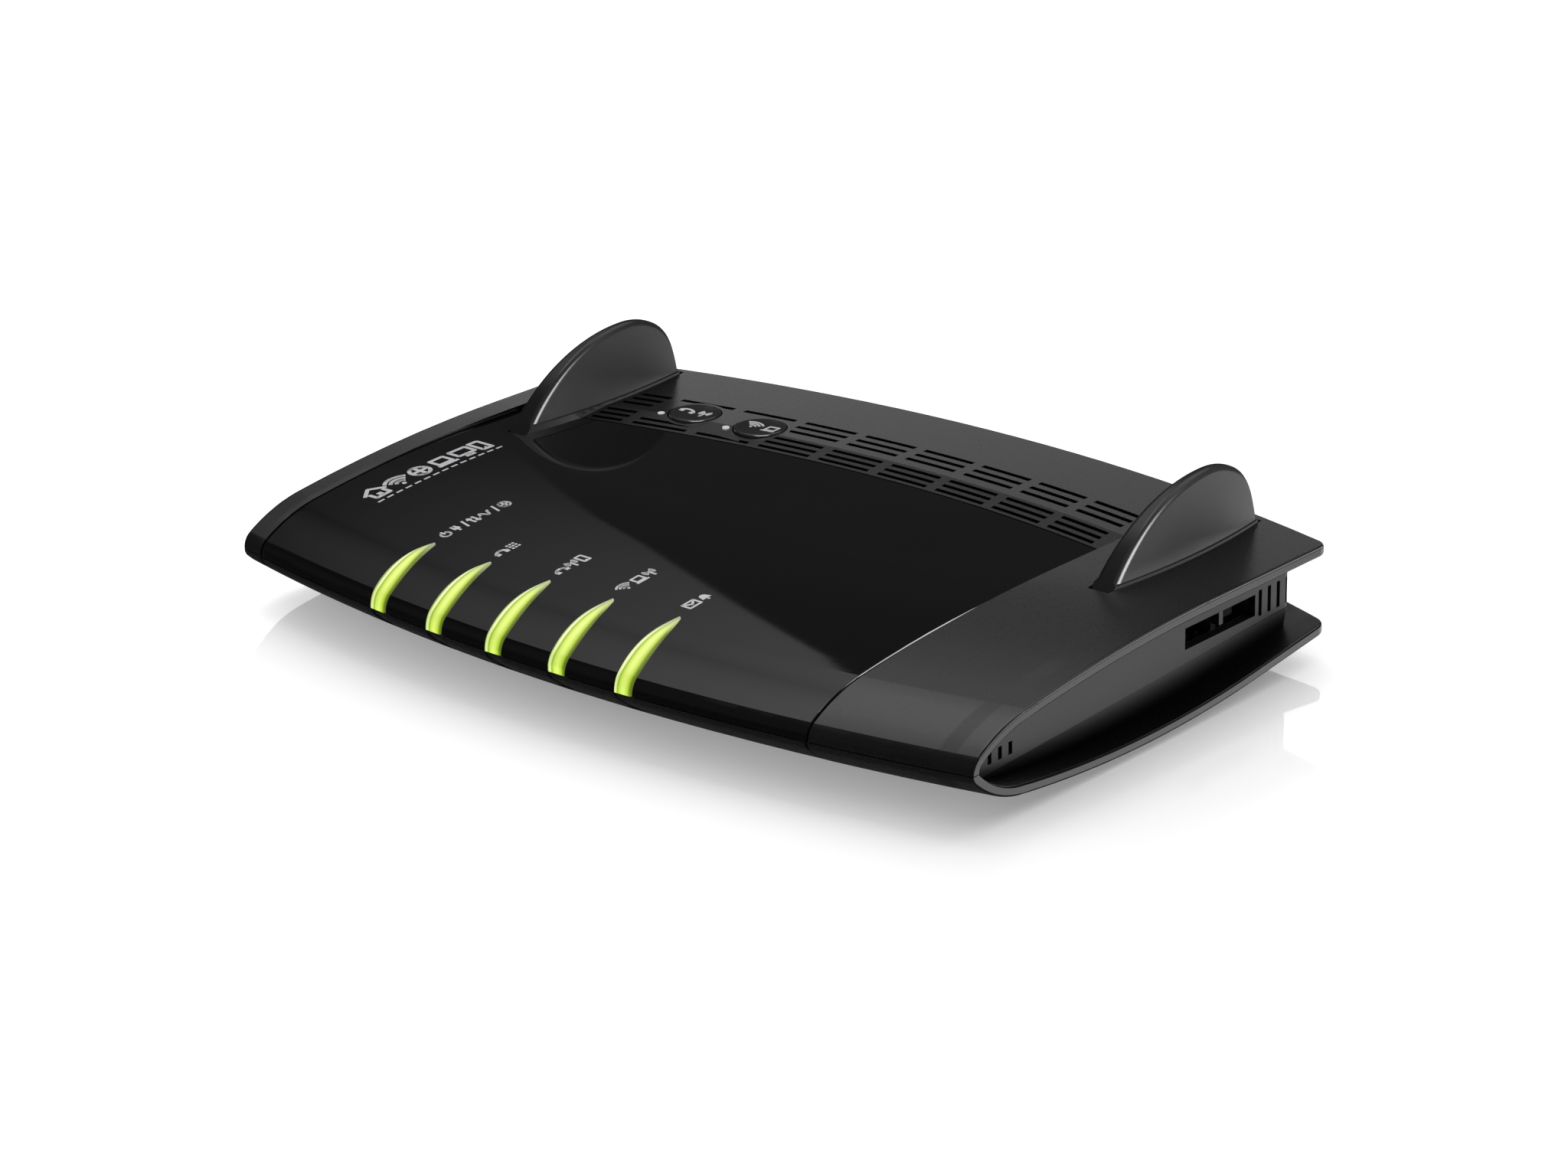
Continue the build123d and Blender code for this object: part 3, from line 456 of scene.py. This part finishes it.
def glyph_screen(w):
    screen = thick([(0, 0.8), (0, 3.0), (3.2, 3.0), (3.2, 0.8), (0, 0.8)], w)
    return screen + thick([(1.6, 0.8), (1.6, 0.1)], w) + thick([(0.8, 0.05), (2.4, 0.05)], w)


def glyph_phone(w):
    return thick([(0, 0), (0, 3.2), (1.8, 3.2), (1.8, 0), (0, 0)], w) + disc(0.9, 0.5, 0.22)


def glyph_dash(w):
    return thick([(0, 1.2), (1.5, 1.2)], w)


# how each pictogram is drawn, and its width
GLYPHS = {
    "power": (glyph_power, 3.0), "plug": (glyph_plug, 2.6), "slash": (glyph_slash, 1.4),
    "arrows": (glyph_arrows, 2.7), "wave": (glyph_wave, 3.5), "handset": (glyph_handset, 3.2),
    "keys": (glyph_keys, 2.7), "mast": (glyph_mast, 2.7), "arcs": (glyph_arcs, 3.5),
    "laptop": (glyph_laptop, 3.6), "envelope": (glyph_envelope, 3.4), "bell": (glyph_bell, 2.8),
    "house": (glyph_house, 3.4), "globe": (glyph_globe, 3.2), "screen": (glyph_screen, 3.2),
    "phone": (glyph_phone, 1.8), "dash": (glyph_dash, 1.5),
}
PRINT_HEIGHT = 0.03 * MM
PRINT_SINK = 0.03 * MM
ABOVE_EVERYTHING = 60.0 * MM


def glyph_row(names, scale, gap, line):
    """Flat outlines of a row of glyphs, in millimetres from the row's start."""
    outlines, reach = [], 0.0
    for name in names:
        draw, width = GLYPHS[name]
        outlines += [[(reach + u * scale, v * scale) for u, v in piece] for piece in draw(line / scale)]
        reach += width * scale + gap
    return outlines


def surface_of(name):
    """The ray-casting tree of a CAD node."""
    mesh = nodes[name].data
    corners = [vertex.co.copy() for vertex in mesh.vertices]
    return BVHTree.FromPolygons(corners, [tuple(face.vertices) for face in mesh.polygons])


def print_row(name, body, surface, names, start, reading, upward, scale, gap=0.9, line=0.62):
    """Prints a row of glyphs on a surface, as thin raised ink."""
    reading, upward = Vector(reading), Vector(upward)
    bm = bmesh.new()
    for outline in glyph_row(names, scale, gap, line):
        tops, bottoms = [], []
        for u, v in outline:
            at = Vector(start) * MM + (reading * u + upward * v) * MM
            hit, normal, _, _ = surface.ray_cast(Vector((at.x, at.y, ABOVE_EVERYTHING)), Vector((0, 0, -1)))
            normal = normal if normal.z > 0 else -normal
            tops.append(bm.verts.new(hit + normal * PRINT_HEIGHT))
            bottoms.append(bm.verts.new(hit - normal * PRINT_SINK))
        bm.faces.new(tops)
        bm.faces.new(bottoms[::-1])
        for i in range(len(tops)):
            j = (i + 1) % len(tops)
            bm.faces.new((tops[i], bottoms[i], bottoms[j], tops[j]))
    bmesh.ops.recalc_face_normals(bm, faces=bm.faces)
    mesh = bpy.data.meshes.new(name)
    bm.to_mesh(mesh)
    bm.free()
    piece = bpy.data.objects.new(name, mesh)
    bpy.context.collection.objects.link(piece)
    piece.data.materials.append(mats["print"])
    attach(piece, body)
    prints.append(piece)


prints = []
TO_BACK, TO_LEFT, TO_RIGHT = (0, 1, 0), (-1, 0, 0), (1, 0, 0)
NOSE_Y = round(cad_box[0][1] / MM, 3)
FRONT_RADIUS = 525.2          # of the nose, seen from above
# name, pictograms, where the row starts sideways and behind the nose, and its scale
PANEL_ROWS = [
    ("print_power_line", ["power", "plug", "slash", "arrows", "wave", "slash", "globe"], -58.8, 24.5, 1.0),
    ("print_phone", ["handset", "keys"], -39.5, 25.3, 1.05),
    ("print_cordless", ["handset", "mast", "phone"], -19.9, 26.2, 1.05),
    ("print_wireless", ["arcs", "laptop", "mast"], -0.6, 27.3, 1.05),
    ("print_message", ["envelope", "bell"], 19.0, 28.0, 1.1),
]


HOME_MARK = ["house", "arcs", "globe", "laptop", "screen", "phone"]
HOME_MARK_START = (-91.0, -44.0, 0)
HOME_LINE_START = (-87.4, -45.0, 0)
HOME_LINE_DASHES = 14
KEY_ROWS = {"cordless": ["handset", "mast"], "wireless": ["arcs", "laptop"]}
KEY_RADIUS = 7.0 * MM
KEY_ROW_OFFSET = (4.4, 0.8)   # from a key's middle back to the start of its row


def print_everything():
    """Prints the rows behind the guides, the home mark at the left and a row on each key."""
    panel = surface_of("gloss_panel")
    for name, glyphs, x, behind, scale in PANEL_ROWS:
        y = NOSE_Y + FRONT_RADIUS - math.sqrt(FRONT_RADIUS**2 - x**2) + behind
        print_row(name, "housing", panel, glyphs, (x, y, 0), TO_BACK, TO_LEFT, scale)
    home_rows = [
        ("print_home_mark", HOME_MARK, HOME_MARK_START, 1.75, 1.6, 1.05),
        ("print_home_line", ["dash"] * HOME_LINE_DASHES, HOME_LINE_START, 1.2, 1.35, 0.6),
    ]
    for name, glyphs, start, scale, gap, line in home_rows:
        print_row(name, "housing", panel, glyphs, start, TO_BACK, TO_LEFT, scale, gap, line)
    for name, glyphs in KEY_ROWS.items():
        low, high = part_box(f"{name}_button")
        cap = surface_of(f"{name}_button")
        middle = Vector(((low[0] + high[0]) / 2, high[1] - KEY_RADIUS, 0)) / MM
        start = (middle.x - KEY_ROW_OFFSET[0], middle.y - KEY_ROW_OFFSET[1], 0)
        print_row(f"print_{name}_key", f"{name}_key", cap, glyphs, start, TO_RIGHT, TO_BACK, 1.15, 1.5, 0.62)


print_everything()


# ---- stage, light and camera ---------------------------------------------------------------------------
TABLE_SIZE = 12.0
TABLE_DROP = 0.3 * MM         # keeps the table clear of the feet
TABLE_WHITE = (0.9, 0.9, 0.9, 1)
TABLE_ROUGHNESS = (0.04, 0.06)


def build_stage():
    """A white glossy table top, with no wear and a faint mirror image."""
    bpy.ops.mesh.primitive_plane_add(size=TABLE_SIZE, location=(0, 0, -TABLE_DROP))
    floor = bpy.context.object
    floor.name = "floor"
    mat, tree, shader, coords = new_material("floor_white")
    shader.inputs["Base Color"].default_value = TABLE_WHITE
    patches = noise(tree, coords, 3.0)
    tree.links.new(to_range(tree, patches, 0.3, 0.7, *TABLE_ROUGHNESS), shader.inputs["Roughness"])
    floor.data.materials.append(mat)
    floor.visible_glossy = False
    return floor


def area_light(name, place, target, size, radiance):
    """A soft panel of light of the given brightness, kept out of the picture."""
    data = bpy.data.lights.new(name, "AREA")
    data.shape = "RECTANGLE"
    data.size, data.size_y = size
    data.energy = radiance * math.pi * size[0] * size[1]
    lamp = bpy.data.objects.new(name, data)
    bpy.context.collection.objects.link(lamp)
    lamp.location = place
    lamp.rotation_euler = (Vector(target) - Vector(place)).to_track_quat("-Z", "Y").to_euler()
    lamp.visible_camera = False
    return lamp


# brightness of the room and of the panels round it
ROOM_LIGHT = 0.045
TOP_LIGHT = 0.12
BEHIND_LIGHT = 0.9
FRONT_LIGHT = 0.06
# the panel behind the left end, in degrees of height and of turn from the back
LEFT_PANEL_FOOT = 20.0
LEFT_PANEL_RIGHT_EDGE = (-45.1, -45.4)
LEFT_PANEL_LEFT_EDGE = (-97.0, -93.0)
LEFT_PANEL_SLANT = 0.75
LEFT_PANEL_GLOW = (0.02, 0.0007)


def build_world():
    """A dim room with soft panels round it; the camera itself sees plain white."""
    world = bpy.data.worlds.new("studio")
    bpy.context.scene.world = world
    world.use_nodes = True
    tree = world.node_tree
    m = Maths(tree)
    split = tree.nodes.new("ShaderNodeSeparateXYZ")
    tree.links.new(tree.nodes.new("ShaderNodeTexCoord").outputs["Generated"], split.inputs[0])
    x, y, z = split.outputs
    height = m("MULTIPLY", m("ARCSINE", z), 180 / math.pi)
    round_z = m("MULTIPLY", m("ARCTAN2", x, y), 180 / math.pi)

    # a tall panel behind the left end: sharp right edge, brighter upwards
    round_to_left = m("MAXIMUM", round_z, -60.0)
    slant = m("MULTIPLY", m("ADD", round_to_left, 46.0), LEFT_PANEL_SLANT)
    rise = m("MAXIMUM", m("ADD", m("SUBTRACT", height, LEFT_PANEL_FOOT), slant), 0.0)
    steady, growing = LEFT_PANEL_GLOW
    glow = m("ADD", m("MULTIPLY", rise, steady), m("MULTIPLY", m("MULTIPLY", rise, rise), growing))
    panel = m("MULTIPLY", glow, m.smooth(round_z, *LEFT_PANEL_RIGHT_EDGE))
    panel = m("MULTIPLY", panel, m.smooth(round_z, *LEFT_PANEL_LEFT_EDGE))

    top = m("MULTIPLY", m.smooth(height, 45.0, 75.0), TOP_LIGHT)
    behind = m("MULTIPLY", m("MULTIPLY", m.smooth(height, 34.0, 44.0), m.smooth(height, 80.0, 60.0)),
               m("MULTIPLY", m.smooth(round_z, -42.0, -36.0), m.smooth(round_z, 60.0, 20.0)))
    behind = m("MULTIPLY", behind, BEHIND_LIGHT)
    front = m("MULTIPLY", m.smooth(m("ABSOLUTE", round_z), 95.0, 130.0), m.smooth(height, 5.0, 20.0))
    front = m("MULTIPLY", front, FRONT_LIGHT)
    total = ROOM_LIGHT
    for part in (panel, top, behind, front):
        total = m("ADD", total, part)
    seen = m("MAXIMUM", total, tree.nodes.new("ShaderNodeLightPath").outputs["Is Camera Ray"])
    tree.links.new(seen, tree.nodes["Background"].inputs["Strength"])
    tree.nodes["Background"].inputs["Color"].default_value = (1, 1, 1, 1)


def collection(name, members):
    """A collection of those objects, for light linking."""
    made = bpy.data.collections.new(name)
    for member in members:
        made.objects.link(member)
    return made


# name, place, target, size, radiance, what it lights and what blocks it (None: everything does)
LIGHTS = [
    ("table_top_light", (0, 0, 2.0), (0, 0, 0), (4.0, 4.0), 0.8, "floor", None),
    ("table_back_light", (-3.0, 3.4, 1.6), (0, 0, 0.3), (6.0, 4.0), 1.5, "floor", None),
    ("table_front_light", (-1.6, -3.0, 1.4), (0, 0, 0), (5.0, 2.6), 2.0, "floor", None),
    ("table_fill_light", (0, 0, 2.5), (0, 0, 0), (4.0, 4.0), 0.75, "floor", "floor"),
    ("low_back_light", (-1.1, 1.2, 0.26), (0, 0, 0.05), (2.6, 0.5), 1.0, "casing", None),
    ("high_back_light", (-1.0, 0.5, 1.5), (0, 0, 0), (1.6, 1.0), 0.65, "casing", None),
    ("right_back_light", (1.0, 1.15, 0.42), (0, 0, 0.05), (1.8, 0.7), 4.0, "cover", None),
    ("wall_bounce", (0.739, 0.843, -0.56), (0, 0, 0.015), (1.8, 0.45), 1.6, "cover", "model"),
    ("base_bounce", (0.739, 0.843, -0.36), (0, 0, 0.015), (1.8, 0.6), 1.6, "base", "model"),
    ("fin_bounce", (0.739, 0.843, -0.36), (0, 0, 0.04), (1.6, 0.5), 1.2, "fins", "model"),
    ("fin_side_light", (0.98, 0.13, 0.42), (0, 0, 0.04), (0.6, 0.75), 17.0, "fins", None),
    ("key_top_light", (0.36, -0.25, 1.1), (0, 0, 0), (0.9, 0.9), 10.0, "keys", None),
    ("seam_light", (0.43, 0.84, 0.74), (0.07, 0, 0.03), (1.0, 0.8), 11.0, "gloss", None),
    ("print_light", (0.6, -1.0, 1.0), (0, 0, 0), (1.2, 1.2), 4.5, "prints", None),
]


def build_lights(floor):
    """Soft lights round the model; the bounces stand in for the pale table's own light from below."""
    members = {
        "floor": [floor],
        "casing": [nodes["top_cover"], nodes["base_shell"]],
        "cover": [nodes["top_cover"]],
        "base": [nodes["base_shell"]],
        "fins": [nodes["fin_antenna_left"], nodes["fin_antenna_right"]],
        "keys": [nodes["cordless_button"], nodes["wireless_button"]],
        "gloss": [nodes["gloss_panel"]],
        "prints": prints,
        "model": list(nodes.values()),
    }
    groups = {name: collection(f"{name}_group", objects) for name, objects in members.items()}
    for name, place, target, size, radiance, lit, blocking in LIGHTS:
        lamp = area_light(name, place, target, size, radiance)
        lamp.light_linking.receiver_collection = groups[lit]
        if blocking:
            lamp.light_linking.blocker_collection = groups[blocking]


CAMERA_AZIMUTH = math.radians(41.25)
CAMERA_ELEVATION = math.radians(20.87)
CAMERA_ROLL = -0.0196
CAMERA_DISTANCE = 1.0731
CAMERA_TARGET = Vector((-0.00875, 0.01176, 0.00483))
CAMERA_LENS = 102.05
CAMERA_SENSOR = 36.0


def build_camera():
    """The camera, looking at its target from a distance, with a slight roll."""
    data = bpy.data.cameras.new("camera")
    data.lens = CAMERA_LENS
    data.sensor_width = CAMERA_SENSOR
    camera = bpy.data.objects.new("camera", data)
    bpy.context.collection.objects.link(camera)
    flat = math.cos(CAMERA_ELEVATION)
    sideways, forwards = math.sin(CAMERA_AZIMUTH) * flat, -math.cos(CAMERA_AZIMUTH) * flat
    back = Vector((sideways, forwards, math.sin(CAMERA_ELEVATION)))
    right = (-back).cross(Vector((0, 0, 1))).normalized()
    up = right.cross(-back)
    x_axis = math.cos(CAMERA_ROLL) * right + math.sin(CAMERA_ROLL) * up
    y_axis = back.cross(x_axis)
    turn = Matrix((x_axis, y_axis, back)).transposed().to_4x4()
    camera.matrix_world = Matrix.Translation(CAMERA_TARGET + back * CAMERA_DISTANCE) @ turn
    bpy.context.scene.camera = camera


build_world()
build_lights(build_stage())
build_camera()
bpy.context.scene.view_settings.view_transform = "Standard"
